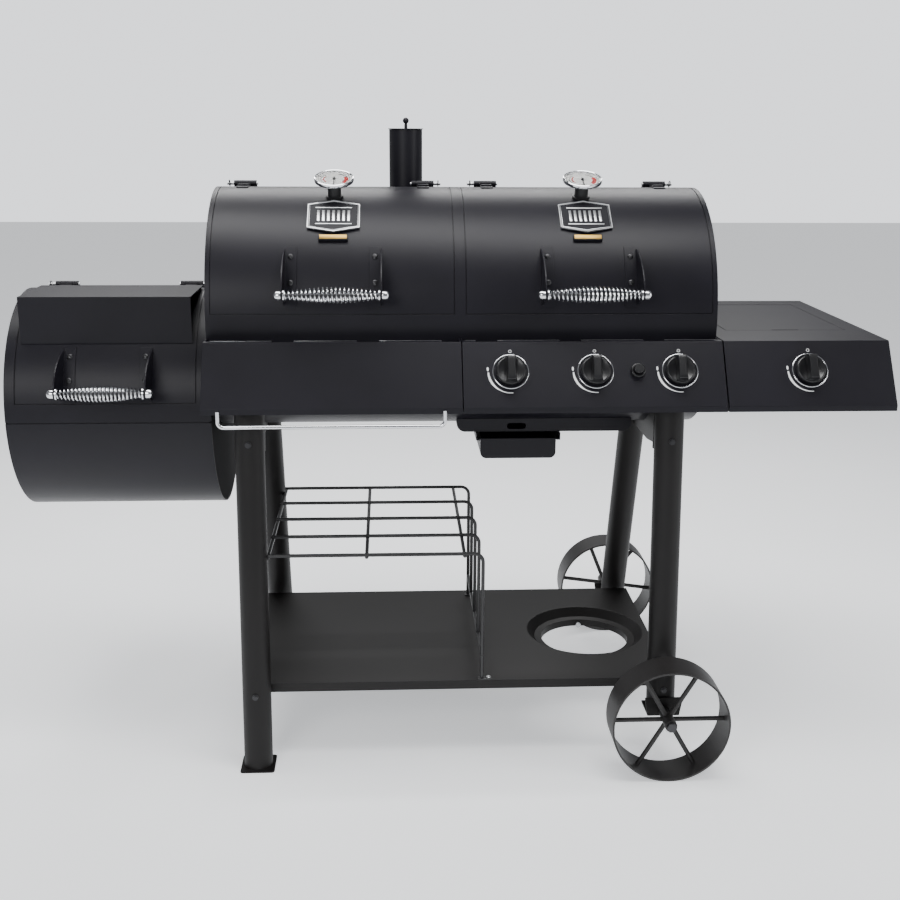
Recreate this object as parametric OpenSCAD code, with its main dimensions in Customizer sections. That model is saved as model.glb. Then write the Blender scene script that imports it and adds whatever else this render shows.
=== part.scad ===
// Offset smoker and gas grill on one cart: a firebox on the left, a long barrel
// with a smoking chamber and a gas chamber, and a side shelf with one burner.
// +X is to the cook's right, -Y faces the cook, +Z is up. Lengths are in mm.

/* [Barrel] */
// Length of the barrel over its end plates
barrel_l = 1086; // [1000:1:1200]
// Outer radius of the barrel
barrel_r = 270; // [255:1:290]
// Height of the barrel axis above the ground
barrel_z = 954; // [930:1:980]
// Distance of the barrel axis behind the middle of the wheel track
barrel_y = 71; // [50:1:90]
// Length of the smoking chamber, from the left end to the divider
smoker_l = 536; // [480:1:580]
// Thickness of the barrel and firebox sheet
sheet_t = 2.5; // [2:0.1:4]
// Width of the fixed rim left at each side of a lid
lid_rim = 10; // [8:1:16]
// Angle of the lower edge of the barrel lids, above the front of the barrel
lid_low_a = 4.4; // [3:0.1:12]

/* [Firebox] */
// Length of the firebox
firebox_l = 438; // [380:1:500]
// Outer radius of the firebox
firebox_r = 250; // [230:1:262]
// Height of the firebox axis above the ground
firebox_z = 745; // [720:1:770]
// Angle of the lower edge of the firebox lid
firebox_low_a = 8; // [4:0.5:16]
// Depth of the warming plate on the firebox lid, front to back
warm_d = 190; // [150:1:200]
// Diameter of the ash door opening in the firebox end
ash_door_d = 170; // [140:1:190]

/* [Cart] */
// Distance between the left and right legs
leg_span = 888; // [820:1:960]
// Distance of the left legs from the left end of the barrel
leg_inset = 91; // [70:1:130]
// Outer diameter of a leg tube
leg_d = 62; // [50:1:70]
// Wall of a leg tube
leg_t = 2.5; // [2:0.1:4]
// Place of a front leg at the ground
front_leg_y = -332; // [-345:1:-320]
// Lean of a front leg, in degrees
front_lean = 5.2; // [3:0.1:6]
// Place of a back leg at the ground
back_leg_y = 327.6; // [315:1:340]
// Lean of a back leg, in degrees
back_lean = 17.2; // [14:0.1:19]
// Gap between the axle and the recess for the gas tank above it
axle_room = 4; // [2:0.5:50]
// Depth of the folded edge of the lower shelf
shelf_lip = 20; // [12:1:30]
// Diameter of the hole that the gas tank foot stands in
tank_hole_d = 209; // [204:1:220]
// Diameter of the dished recess around the tank hole
tank_dish_d = 288; // [260:1:300]
// Depth of the dished recess
tank_dish_h = 36; // [20:1:50]

/* [Wheels] */
// Outer radius of a wheel
wheel_r = 127; // [115:1:140]
// Width of the steel wheel band
wheel_w = 82; // [60:1:90]
// Thickness of the wheel band
wheel_t = 4; // [3:0.5:6]
// Distance between the middles of the two wheels
wheel_track = 796; // [780:1:820]
// Radius of the axle
axle_r = 8; // [6:0.5:10]
// Diameter of a wheel spoke
spoke_d = 10; // [7:0.5:13]

/* [Panels] */
// Height of the top edge of the front panels and the side shelf
panel_z = 925; // [905:1:940]
// Place of the top edge of the front panels
panel_y = -247; // [-262:1:-240]
// Height of a front panel along its slope
panel_h = 146; // [130:1:160]
// Slope of the front panels from vertical
panel_a = 32.5; // [25:0.5:36]
// Width of the side shelf
side_w = 355; // [300:1:420]
// Place of the back edge of the side shelf
side_back_y = 330; // [280:1:360]
// Distance of a knob down the slope of the panel
knob_drop = 67; // [60:1:80]
// Distance between neighbouring knobs
knob_pitch = 177.5; // [150:1:180]
// Outer diameter of a knob ring
ring_d = 77; // [70:1:84]

/* [Chimney] */
// Outer diameter of the chimney
chimney_d = 77; // [70:1:90]
// Height of the chimney top above the ground
chimney_top = 1349; // [1320:1:1400]
// Place of the chimney to the left of the divider
chimney_left = 109; // [90:1:130]

/* [Handles] */
// Distance between the bracket plates of a barrel lid handle
handle_span = 204; // [180:1:240]
// Distance between the bracket plates of the firebox handle
fire_handle_span = 188; // [160:1:220]
// Stand-off of a handle rod from the lid
handle_out = 66; // [55:1:80]
// Radius of the spring grip at its middle
grip_r = 19; // [16:0.5:24]

/* [Hidden] */
$fn = 96;

black = "#1b1c1f";
soot = "#26262a";
steel = "#c9ccd0";

// Clearances
run_fit = 0.05;      // radial, shaft in a turning bore
part_gap = 0.4;      // between pieces that move past each other
lid_gap = 2;         // seam around a lid
panel_gap = 3;       // between neighbouring front panels
ground_gap = 3;      // foot plate thickness

// Main stations along X
door_t = 3;
latch_out = 18.6;    // reach of the ash door latch
door_out = part_gap + door_t + latch_out;
barrel_x0 = (firebox_l + door_out - barrel_l - panel_gap - side_w) / 2;
barrel_x1 = barrel_x0 + barrel_l;
divider_x = barrel_x0 + smoker_l;
firebox_x0 = barrel_x0 - firebox_l;
side_x0 = barrel_x1 + panel_gap;
side_x1 = side_x0 + side_w;
leg_x0 = barrel_x0 + leg_inset;
leg_x1 = leg_x0 + leg_span;
smoker_mid = (barrel_x0 + divider_x) / 2;
grill_mid = (divider_x + barrel_x1) / 2;
firebox_mid = (firebox_x0 + barrel_x0) / 2;
strip_half = 11.5;   // half the fixed strip between the two barrel lids
lip_sink = 0.3;      // how far a welded lip sits into the sheet
lid_t = sheet_t - lip_sink - part_gap;
hinge_a = 98;        // place of the hinge line, from the front over the top
hinge_rise = 8;
pin_r = 3.5;
knuckle_r = 7;
knuckle_w = 26;
leaf_w = 12;
hinge_inset = 60;    // middle of a hinge from the side of its lid

// ---------- shared shapes ----------

// Stand a flat (y, z) outline up and run it along X.
module along_x(x0, len) {
    translate([x0, 0, 0]) rotate([90, 0, 90]) linear_extrude(len) children();
}

// Lay a flat (x, z) outline up and run it along +Y.
module along_y(y0, len) {
    translate([0, y0 + len, 0]) rotate([90, 0, 0]) linear_extrude(len) children();
}

module rod_x(p, r, len) {
    translate(p) rotate([0, 90, 0]) cylinder(r = r, h = len);
}

module rod_y(p, r, len) {
    translate(p) rotate([-90, 0, 0]) cylinder(r = r, h = len);
}

// A wall that follows a drum from angle a0 to a1. Angle 0 is the front of the
// drum, 90 its top and 180 its back.
module drum_wall(y, z, r, t, a0, a1, x0, len) {
    translate([x0, y, z]) rotate([90, 0, 90]) rotate([0, 0, 180 - a1])
        rotate_extrude(angle = a1 - a0) translate([r - t, 0]) square([t, len]);
}

function drum_y(y, r, a) = y - r * cos(a);
function drum_z(z, r, a) = z + r * sin(a);

module barrel_wall(r, t, a0, a1, x0, len) {
    drum_wall(barrel_y, barrel_z, r, t, a0, a1, x0, len);
}

module fire_wall(r, t, a0, a1, x0, len) {
    drum_wall(barrel_y, firebox_z, r, t, a0, a1, x0, len);
}

// Put children on a front panel: x along the panel, y up its slope, z outwards,
// with the origin on the panel face, "drop" below its top edge.
module on_panel(x, drop) {
    translate([x, panel_y - drop * sin(panel_a), panel_z - drop * cos(panel_a)])
        rotate([90 - panel_a, 0, 0]) children();
}

// ---------- legs, axle and wheels ----------

function front_y(z) = front_leg_y + z * tan(front_lean);
function back_y(z) = back_leg_y - z * tan(back_lean);
shelf_z = wheel_r + axle_r + axle_room + tank_dish_h;
leg_foot_z = wheel_r - 6;      // lower end of the legs that carry the axle
front_top = 806;               // upper end of a front leg
foot_w = 74;

module leg_rod(front, r, x, grow) {
    y = front ? front_leg_y : back_leg_y;
    a = front ? -front_lean : back_lean;
    translate([x, y, 0]) rotate([a, 0, 0]) translate([0, 0, -grow])
        cylinder(r = r, h = 900 + grow);
}

module leg(front, x, z0, z1) {
    intersection() {
        difference() {
            leg_rod(front, leg_d / 2, x, 60);
            leg_rod(front, leg_d / 2 - leg_t, x, 60);
            rod_y([leg_x1, -wheel_track / 2, wheel_r], axle_r, wheel_track);
            rod_x([barrel_x0, barrel_y, barrel_z], barrel_r, barrel_l);
        }
        translate([x - leg_d, -wheel_track / 2, z0]) cube([2 * leg_d, wheel_track, z1 - z0]);
    }
}

module foot(x, y) {
    translate([x - foot_w / 2, y - foot_w / 2, 0]) linear_extrude(ground_gap)
        translate([6, 6]) offset(6) square(foot_w - 12);
}

module leg_front_left() {
    color(black) {
        leg(true, leg_x0, ground_gap, front_top);
        foot(leg_x0, front_leg_y);
    }
}

module leg_front_right() {
    color(black) leg(true, leg_x1, leg_foot_z, front_top);
}

module leg_back_left() {
    color(black) {
        leg(false, leg_x0, ground_gap, barrel_z);
        foot(leg_x0, back_leg_y);
    }
}

module leg_back_right() {
    color(black) leg(false, leg_x1, leg_foot_z, barrel_z);
}

// A web under the barrel between a front and a back leg, with a flange that the
// front leg is bolted to.
saddle_t = 5;
saddle_low = 664;
leg_bolt_z = [719, 786];

module leg_saddle(x) {
    difference() {
        union() {
            along_x(x - saddle_t / 2, saddle_t) polygon([
                [front_y(saddle_low), saddle_low + 30],
                [front_y(front_top), front_top - 6],
                [barrel_y - barrel_r / 2, front_top - 6],
                [barrel_y + 60, barrel_z - barrel_r + 20],
                [back_y(saddle_low), saddle_low],
                [-60, saddle_low]]);
            intersection() {
                leg_rod(true, leg_d / 2 + saddle_t, x, 0);
                translate([x - leg_d / 2, front_leg_y, saddle_low + 30])
                    cube([leg_d, leg_d * 4, front_top - saddle_low - 36]);
                translate([x - leg_d / 2, front_y(700) + 12, 0])
                    cube([leg_d, leg_d, 1000]);
            }
        }
        rod_x([barrel_x0, barrel_y, barrel_z], barrel_r, barrel_l);
        leg_rod(true, leg_d / 2, x, 0);
        leg_rod(false, leg_d / 2, x, 0);
    }
}

module leg_saddles() {
    color(black) {
        leg_saddle(leg_x0);
        leg_saddle(leg_x1);
    }
}

// Bolt heads on the fronts of the front legs, and the nuts on the axle ends.
bolt_r = 6.5;
hub_half = 34;
nut_t = 8;

module leg_bolt(x, z) {
    difference() {
        translate([x, front_y(z) - leg_d / 2, z]) rotate([90 - front_lean, 0, 0])
            translate([0, 0, -2]) union() {
                cylinder(r = bolt_r, h = 4.5);
                cylinder(r = bolt_r * 0.66, h = 7);
            }
        leg_rod(true, leg_d / 2, x, 0);
    }
}

module fasteners() {
    color(steel) {
        for (x = [leg_x0, leg_x1], z = [shelf_z - 5, leg_bolt_z[0]]) leg_bolt(x, z);
        for (s = [-1, 1]) translate([leg_x1, s * (wheel_track / 2 + hub_half + part_gap), wheel_r])
            rotate([s * -90, 0, 0]) difference() {
                cylinder(r = 11, h = nut_t, $fn = 6);
                translate([0, 0, -1]) cylinder(r = axle_r, h = nut_t);
            }
    }
}

// Folded brackets at the feet of the right legs hold the axle.
bracket_top = 84;
bracket_low = 70;
bracket_z0 = wheel_r - 14;
bracket_t = 4;

module axle_bracket(front) {
    y = front ? front_y(wheel_r) - leg_d / 2 - bracket_t : back_y(wheel_r) + leg_d / 2;
    difference() {
        union() {
            along_y(y, bracket_t) polygon([
                [leg_x1 - bracket_top / 2, shelf_z - shelf_lip],
                [leg_x1 + bracket_top / 2, shelf_z - shelf_lip],
                [leg_x1 + bracket_low / 2, bracket_z0],
                [leg_x1 - bracket_low / 2, bracket_z0]]);
            translate([leg_x1 - bracket_low / 2, min(y, y + (front ? 1 : -1) * leg_d), bracket_z0])
                cube([bracket_low, leg_d + bracket_t, bracket_t]);
        }
        leg_rod(front, leg_d / 2, leg_x1, 0);
        rod_y([leg_x1, -wheel_track / 2, wheel_r], axle_r, wheel_track);
    }
}

module axle_brackets() {
    color(black) {
        axle_bracket(true);
        axle_bracket(false);
    }
}

module axle() {
    len = wheel_track + 2 * (hub_half + part_gap) + 2 * (nut_t - 1);
    color(steel) rod_y([leg_x1, -len / 2, wheel_r], axle_r, len);
}

module wheel(y, turn) {
    translate([leg_x1, y, wheel_r]) rotate([-90, 0, 0]) difference() {
        union() {
            difference() {
                translate([0, 0, -wheel_w / 2]) cylinder(r = wheel_r, h = wheel_w, $fn = 128);
                translate([0, 0, -wheel_w]) cylinder(r = wheel_r - wheel_t, h = 2 * wheel_w, $fn = 128);
            }
            translate([0, 0, -hub_half]) cylinder(r = axle_r + 5, h = 2 * hub_half);
            for (a = [0 : 60 : 120]) rotate([90, 0, a + turn])
                translate([0, 0, 1 - wheel_r]) cylinder(r = spoke_d / 2, h = 2 * wheel_r - 2);
        }
        translate([0, 0, -wheel_w]) cylinder(r = axle_r + run_fit, h = 2 * wheel_w);
    }
}

module wheel_front() {
    color(soot) wheel(-wheel_track / 2, 30);
}

module wheel_rear() {
    color(soot) wheel(wheel_track / 2, 38);
}

// ---------- lower shelf ----------

shelf_y0 = -294;
shelf_y1 = 236;
shelf_x0 = leg_x0 - 28;
shelf_x1 = leg_x1 + 28;
shelf_t = 2;
tank_x = leg_x1 - 125;
tank_y = -27;

module lower_shelf() {
    z0 = shelf_z - shelf_lip;
    color(soot) difference() {
        union() {
            difference() {
                translate([shelf_x0, shelf_y0, z0])
                    cube([shelf_x1 - shelf_x0, shelf_y1 - shelf_y0, shelf_lip]);
                translate([shelf_x0 + shelf_t, shelf_y0 + shelf_t, z0 - 1])
                    cube([shelf_x1 - shelf_x0 - 2 * shelf_t, shelf_y1 - shelf_y0 - 2 * shelf_t,
                        shelf_lip - shelf_t + 1]);
            }
            translate([tank_x, tank_y, shelf_z]) rotate_extrude() polygon([
                [tank_dish_d / 2 + 4, 0], [tank_dish_d / 2 - 4, -1],
                [tank_dish_d / 2 - 22, -20], [tank_hole_d / 2 + shelf_t, -22],
                [tank_hole_d / 2 + shelf_t, -tank_dish_h], [tank_hole_d / 2, -tank_dish_h],
                [tank_hole_d / 2, -20], [tank_dish_d / 2 - 23, -20 + shelf_t],
                [tank_dish_d / 2 - 5, shelf_t - 2]]);
        }
        translate([tank_x, tank_y, 0]) cylinder(r = tank_hole_d / 2, h = 400);
        translate([tank_x, tank_y, shelf_z]) rotate_extrude() polygon([
            [0, 1], [tank_dish_d / 2, 1], [tank_dish_d / 2 - 5, -0.5],
            [tank_dish_d / 2 - 23, -20 + shelf_t], [tank_hole_d / 2 - 1, -20], [0, -20]]);
        for (front = [true, false], x = [leg_x0, leg_x1]) leg_rod(front, leg_d / 2, x, 0);
        translate([tank_x, tank_y, shelf_z - tank_dish_h + 7])
            rotate([-90, 0, 0]) cylinder(r = 4, h = tank_dish_d / 2);
    }
}

// A thumb screw through the back of the tank hole pins the tank foot.
module tank_screw() {
    y = tank_y + tank_hole_d / 2;
    z = shelf_z - tank_dish_h + 7;
    color(steel) union() {
        rod_y([tank_x, y - 14, z], 4, 50);
        rod_y([tank_x, y - 16, z], 6.5, 5);
        translate([tank_x - 14, y + 34, z - 9]) cube([28, 5, 18]);
    }
}

// ---------- wire rack ----------

wire_r = 4;
rack_z = 470;
rack_step = 122.5;
rack_y0 = -286;
rack_x0 = leg_x0 + leg_d / 2;
rack_x1 = leg_x0 + 493;
rack_cross = 211;
rack_low_z = shelf_z + 55;
foot_t = 3;
weld_gap = 0.1;      // left for the weld between two wires of the rack

// Five wires run from the legs and drop to the shelf or to the low cross wire.
module wire_rack() {
    color(black) for (i = [0 : 4]) {
        y = rack_y0 + i * rack_step;
        z0 = (i == 0 || i == 4) ? shelf_z + foot_t : rack_low_z + wire_r;
        rod_x([rack_x0, y, rack_z], wire_r, rack_x1 + wire_r - rack_x0);
        translate([rack_x1, y, z0]) cylinder(r = wire_r, h = rack_z - wire_r - weld_gap - z0);
    }
}

// Cross wires under the rack, and the feet of its two outer wires.
module rack_crosses() {
    color(black) {
        for (i = [0 : 2]) rod_y([rack_x0 + wire_r + i * rack_cross, rack_y0 - wire_r, rack_z - 2 * wire_r],
            wire_r, 4 * rack_step + 2 * wire_r);
        rod_y([rack_x1, rack_y0 + 1.5 * wire_r, rack_low_z], wire_r, 4 * rack_step - 3 * wire_r);
        for (i = [0, 4]) translate([rack_x1 - 8, rack_y0 + i * rack_step - 8, shelf_z])
            cube([30, 16, foot_t]);
    }
}

// ---------- barrel ----------

plate_t = 3;
grate_z = barrel_z - 26;       // top of the cooking grates
grate_t = 11;
ledge_t = 3;
ledge_w = 22;
ledge_z = grate_z - grate_t - ledge_t;
ledge_half = sqrt(pow(barrel_r - sheet_t, 2) - pow(barrel_z - ledge_z, 2));
box_open = [-38, 183];         // front and back of the opening over the burner box
box_x0 = divider_x + 2;
box_x1 = leg_x1 - leg_d / 2 - 6;

module lid_cut(x0, x1) {
    barrel_wall(barrel_r + 2, sheet_t + 4, lid_low_a, hinge_a - 2, x0, x1 - x0);
}

// The frame inside an opening that its lid closes onto.
module lid_lip(z, r, a0, x0, x1) {
    r1 = r - sheet_t + lip_sink;
    difference() {
        drum_wall(barrel_y, z, r1, 2.3, a0 - 2.5, hinge_a, x0 - 5, x1 - x0 + 10);
        drum_wall(barrel_y, z, r1 + 2, 6, a0 + 1.6, hinge_a + 5, x0 + 6, x1 - x0 - 12);
    }
}

module barrel_shell() {
    s0 = barrel_x0 + lid_rim;
    s1 = divider_x - strip_half;
    g0 = divider_x + strip_half;
    g1 = barrel_x1 - lid_rim;
    color(black) union() {
        difference() {
            rod_x([barrel_x0, barrel_y, barrel_z], barrel_r, barrel_l);
            rod_x([barrel_x0 - 1, barrel_y, barrel_z], barrel_r - sheet_t, barrel_l + 2);
            lid_cut(s0, s1);
            lid_cut(g0, g1);
            translate([box_x0 + 20, box_open[0], barrel_z - barrel_r - 20])
                cube([box_x1 - box_x0 - 40, box_open[1] - box_open[0], 80]);
            translate([chimney_x, chimney_y, barrel_z]) cylinder(r = chimney_d / 2 - 4, h = 400);
            for (i = [0 : 2]) gas_arm(knob_x[i], arm_r + 3);
        }
        // lips that the lids close onto
        lid_lip(barrel_z, barrel_r, lid_low_a, s0, s1);
        lid_lip(barrel_z, barrel_r, lid_low_a, g0, g1);
        // ledges that carry the cooking grates
        for (y = [barrel_y - ledge_half - 1, barrel_y + ledge_half + 1 - ledge_w])
            for (x = [[barrel_x0 + plate_t, divider_x - plate_t / 2],
                    [divider_x + plate_t / 2, barrel_x1 - plate_t]])
                translate([x[0], y, ledge_z]) cube([x[1] - x[0], ledge_w, ledge_t]);
    }
}

// Two end plates and the divider. The left plate opens into the firebox.
throat_w = 240;
throat_h = 90;
throat_z = 800;

module throat(x) {
    translate([x, barrel_y - throat_w / 2, throat_z]) cube([20, throat_w, throat_h]);
}

module barrel_plates() {
    r = barrel_r - sheet_t;
    color(black) {
        difference() {
            rod_x([barrel_x0, barrel_y, barrel_z], r, plate_t);
            throat(barrel_x0 - 10);
        }
        rod_x([barrel_x1 - plate_t, barrel_y, barrel_z], r, plate_t);
        rod_x([divider_x - plate_t / 2, barrel_y, barrel_z], r, plate_t);
    }
}

// ---------- hinges ----------

// Each hinge: its place along X, and the side on which its pin stands out.
barrel_hinges = [
    [barrel_x0 + hinge_inset, -1], [divider_x - hinge_inset - 12, 1],
    [divider_x + hinge_inset + 12, -1], [barrel_x1 - hinge_inset - 25, 1]];
fire_hinges = [[firebox_x0 + 80, -1], [barrel_x0 - 72, 1]];

module hinge_line(z, r, x, len, rad) {
    rod_x([x, drum_y(barrel_y, r + hinge_rise, hinge_a), drum_z(z, r + hinge_rise, hinge_a)],
        rad, len);
}

module fixed_leaf(z, r, x) {
    difference() {
        for (s = [-1, 1]) {
            x0 = x + s * (knuckle_w / 2 + part_gap) - (s < 0 ? leaf_w : 0);
            drum_wall(barrel_y, z, r + 2.5, 2.5, 100.5, 106, x0, leaf_w);
            drum_wall(barrel_y, z, r + 6, 4, hinge_a, 103, x0 + 1, leaf_w - 2);
            hinge_line(z, r, x0, leaf_w, knuckle_r);
        }
        hinge_line(z, r, x - 50, 100, pin_r);
    }
}

module hinge_leaves() {
    color(black) {
        for (h = barrel_hinges) fixed_leaf(barrel_z, barrel_r, h[0]);
        for (h = fire_hinges) fixed_leaf(firebox_z, firebox_r, h[0]);
    }
}

pin_l = knuckle_w + 2 * leaf_w + 2 * part_gap;

module hinge_pins() {
    color(steel) {
        for (h = barrel_hinges) hinge_line(barrel_z, barrel_r,
            h[0] - pin_l / 2 - (h[1] < 0 ? 16 : 3), pin_l + 19, pin_r);
        for (h = fire_hinges) hinge_line(firebox_z, firebox_r,
            h[0] - pin_l / 2 - (h[1] < 0 ? 16 : 3), pin_l + 19, pin_r);
    }
}

// ---------- lids ----------

// A drum lid from x0 to x1 with its lower edge at angle a0, and its knuckles.
module drum_lid(z, r, a0, x0, x1, hinges) {
    gap_a = lid_gap / r * 57.3;
    difference() {
        union() {
            drum_wall(barrel_y, z, r, lid_t, a0 + gap_a, hinge_a - 3, x0 + lid_gap,
                x1 - x0 - 2 * lid_gap);
            for (h = hinges) {
                x = h[0] - knuckle_w / 2;
                drum_wall(barrel_y, z, r + 2.5, 3, 84, hinge_a - 4, x, knuckle_w);
                drum_wall(barrel_y, z, r + 6, 4, 88, hinge_a, x + 1, knuckle_w - 2);
                hinge_line(z, r, x, knuckle_w, knuckle_r);
            }
        }
        for (h = hinges) hinge_line(z, r, h[0] - 50, 100, pin_r + run_fit);
    }
}

module smoker_lid() {
    color(black) difference() {
        drum_lid(barrel_z, barrel_r, lid_low_a, barrel_x0 + lid_rim, divider_x - strip_half,
            [barrel_hinges[0], barrel_hinges[1]]);
        on_lid(smoker_mid, gauge_a) translate([0, 0, -20]) cylinder(r = probe_r, h = 40);
    }
}

module grill_lid() {
    color(black) difference() {
        drum_lid(barrel_z, barrel_r, lid_low_a, divider_x + strip_half, barrel_x1 - lid_rim,
            [barrel_hinges[2], barrel_hinges[3]]);
        on_lid(grill_mid, gauge_a) translate([0, 0, -20]) cylinder(r = probe_r, h = 40);
    }
}

// ---------- handles ----------

rod_r = 4;
fin_t = 3;
flange_w = 26;
flange_t = 2.2;
rod_a = 12;
fin_rise_a = 22.5;
fin_drop_a = 3.4;

// Fin-shaped bracket plates with flanges on the lid, on either side of x.
module lid_brackets(z, r, x, span, a) {
    steps = 14;
    rod_p = [drum_y(barrel_y, r + handle_out, a), drum_z(z, r + handle_out, a)];
    top_a = a + fin_rise_a;
    difference() {
        for (s = [-1, 1]) {
            along_x(x + s * span / 2 - fin_t / 2, fin_t) union() {
                polygon(concat(
                    [for (i = [0 : steps]) let (t = i / steps, b = top_a + (a - top_a) * t,
                        d = r + 1.2 + (handle_out + 8) * sin(90 * t))
                        [drum_y(barrel_y, d, b), drum_z(z, d, b)]],
                    [for (i = [0 : steps]) let (b = a - fin_drop_a + (top_a - a + fin_drop_a) * i / steps)
                        [drum_y(barrel_y, r + 1, b), drum_z(z, r + 1, b)]]));
                translate(rod_p) circle(9);
            }
            drum_wall(barrel_y, z, r + flange_t, flange_t, a - fin_drop_a - 1, top_a + 1,
                s < 0 ? x - span / 2 : x + span / 2 - flange_w, flange_w);
        }
        rod_x([x - span, rod_p[0], rod_p[1]], rod_r, 2 * span);
    }
}

// A rod with domed nuts outside the brackets and a spring grip between them.
module grip(z, r, x, span, a) {
    p = [x - span / 2, drum_y(barrel_y, r + handle_out, a), drum_z(z, r + handle_out, a)];
    rod_x([p[0] - 8, p[1], p[2]], rod_r, span + 16);
    for (s = [-1, 1]) translate([x + s * (span / 2 + fin_t / 2), p[1], p[2]])
        rotate([0, s * 90, 0]) rotate_extrude() polygon([
            [rod_r, 0], [9.5, 0], [9.5, 8], [8, 12], [4, 14.5], [0, 15], [0, 7], [rod_r, 7]]);
    steps = 12;
    len = span - fin_t - 1;
    translate([x - len / 2, p[1], p[2]]) rotate([0, 90, 0]) rotate_extrude() polygon(concat(
        [[rod_r + 0.2, 0]],
        [for (i = [0 : steps]) [9 + (grip_r - 9) * sin(180 * i / steps), len * i / steps]],
        [[rod_r + 0.2, len]]));
}

fire_a = 13;

module smoker_lid_brackets() {
    color(black) lid_brackets(barrel_z, barrel_r, smoker_mid, handle_span, rod_a);
}

module grill_lid_brackets() {
    color(black) lid_brackets(barrel_z, barrel_r, grill_mid, handle_span, rod_a);
}

module firebox_lid_brackets() {
    color(black) lid_brackets(firebox_z, firebox_r, firebox_mid, fire_handle_span, fire_a);
}

module smoker_grip() {
    color(steel) grip(barrel_z, barrel_r, smoker_mid, handle_span, rod_a);
}

module grill_grip() {
    color(steel) grip(barrel_z, barrel_r, grill_mid, handle_span, rod_a);
}

module firebox_grip() {
    color(steel) grip(firebox_z, firebox_r, firebox_mid, fire_handle_span, fire_a);
}

// ---------- gauges and badges ----------

gauge_a = 69.6;
gauge_r = 43;
gauge_h = 44;
probe_r = 4;
pivot_r = 1.2;

// Put children on a lid at angle a: x along the barrel, y up the lid, z outwards.
module on_lid(x, a) {
    translate([x, drum_y(barrel_y, barrel_r, a), drum_z(barrel_z, barrel_r, a)])
        rotate([90 - a, 0, 0]) children();
}

module gauge(x) {
    on_lid(x, gauge_a) {
        color(black) difference() {
            union() {
                translate([0, 0, -60]) cylinder(r = probe_r, h = 70);
                cylinder(r = 19, h = 3);
                cylinder(r = 14.5, h = gauge_h - 10);
                translate([0, 0, gauge_h - 12]) cylinder(r1 = 18, r2 = gauge_r, h = 5);
                translate([0, 0, gauge_h - 7]) cylinder(r = gauge_r, h = 9);
            }
            translate([0, 0, gauge_h - 3]) cylinder(r = gauge_r - 3, h = 20);
        }
        color(steel) translate([0, 0, gauge_h - 4]) cylinder(r = pivot_r, h = 5);
    }
}

module gauge_pin(x) {
    on_lid(x, gauge_a) translate([0, 0, gauge_h - 3 + part_gap]) difference() {
        union() {
            cylinder(r = 3.5, h = 3);
            translate([-1, -34, 1]) cube([2, 44, 1]);
        }
        translate([0, 0, -1]) cylinder(r = pivot_r + run_fit, h = 6);
    }
}

module smoker_gauge() {
    gauge(smoker_mid);
}

module grill_gauge() {
    gauge(grill_mid);
}

module smoker_gauge_needle() {
    color(black) gauge_pin(smoker_mid);
}

module grill_gauge_needle() {
    color(black) gauge_pin(grill_mid);
}

badge_a = 53;
badge_w = 112;
badge_h = 73;
badge_peak = 13;

bar_w = 62;
bar_below_a = 13.2;  // place of the small bar below a badge

// A flat plate on two studs, and a small bar below it.
module badge(x) {
    difference() {
        union() {
            on_lid(x, badge_a) {
                translate([0, 0, 0.3]) linear_extrude(3.7) polygon([
                    [-badge_w / 2, -badge_h / 2], [0, -badge_h / 2 - badge_peak],
                    [badge_w / 2, -badge_h / 2], [badge_w / 2, badge_h / 2],
                    [0, badge_h / 2 + badge_peak], [-badge_w / 2, badge_h / 2]]);
                for (y = [-badge_h / 3, badge_h / 3]) translate([0, y, -6]) cylinder(r = 5, h = 8);
            }
            on_lid(x, badge_a - bar_below_a) translate([-bar_w / 2, -6, -3]) cube([bar_w, 12, 11]);
        }
        rod_x([barrel_x0, barrel_y, barrel_z], barrel_r, barrel_l);
    }
}

module smoker_badge() {
    color(soot) badge(smoker_mid);
}

module grill_badge() {
    color(soot) badge(grill_mid);
}

// ---------- chimney ----------

chimney_x = divider_x - chimney_left;
chimney_back = 77.5;     // front of the stack behind the middle of the barrel
chimney_y = barrel_y + chimney_back + chimney_d / 2;
chimney_t = 2;
cap_pin_y = chimney_y - chimney_d / 2 + 7;
cap_t = 2;
finial_top = 28;

module chimney_stack() {
    color(black) difference() {
        union() {
            translate([chimney_x, chimney_y, barrel_z]) cylinder(r = chimney_d / 2, h = chimney_top - barrel_z);
        }
        translate([chimney_x, chimney_y, barrel_z - 1])
            cylinder(r = chimney_d / 2 - chimney_t, h = 500);
        rod_x([barrel_x0, barrel_y, barrel_z], barrel_r, barrel_l);
    }
}

// The bolt that the chimney cap swings on, with its lug inside the stack.
module chimney_bolt() {
    color(black) {
        translate([chimney_x, cap_pin_y, chimney_top - 14]) union() {
            cylinder(r = 3, h = 14 + finial_top - 12);
            translate([0, 0, 14 + cap_t + 1]) cylinder(r = 3.6, h = 9);
            translate([0, 0, 14 + finial_top - 8]) sphere(7, $fn = 48);
        }
        difference() {
            translate([chimney_x - 7, cap_pin_y - 7, chimney_top - 20]) cube([14, 13, 12]);
            translate([chimney_x, cap_pin_y, chimney_top - 14]) cylinder(r = 3, h = 30);
            difference() {
                translate([chimney_x, chimney_y, chimney_top - 30]) cylinder(r = chimney_d, h = 40);
                translate([chimney_x, chimney_y, chimney_top - 31])
                    cylinder(r = chimney_d / 2 - chimney_t, h = 42);
            }
        }
    }
}

module chimney_cap() {
    color(black) difference() {
        translate([chimney_x, chimney_y, chimney_top + part_gap]) cylinder(r = chimney_d / 2 + 2, h = cap_t);
        translate([chimney_x, cap_pin_y, chimney_top - 5]) cylinder(r = 3 + run_fit, h = 20);
    }
}

// ---------- front panels ----------

panel_t = 2;
panel_lip = 12;
panel_low_y = panel_y - panel_h * sin(panel_a);
panel_low_z = panel_z - panel_h * cos(panel_a);
flange_d = 18;

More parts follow.
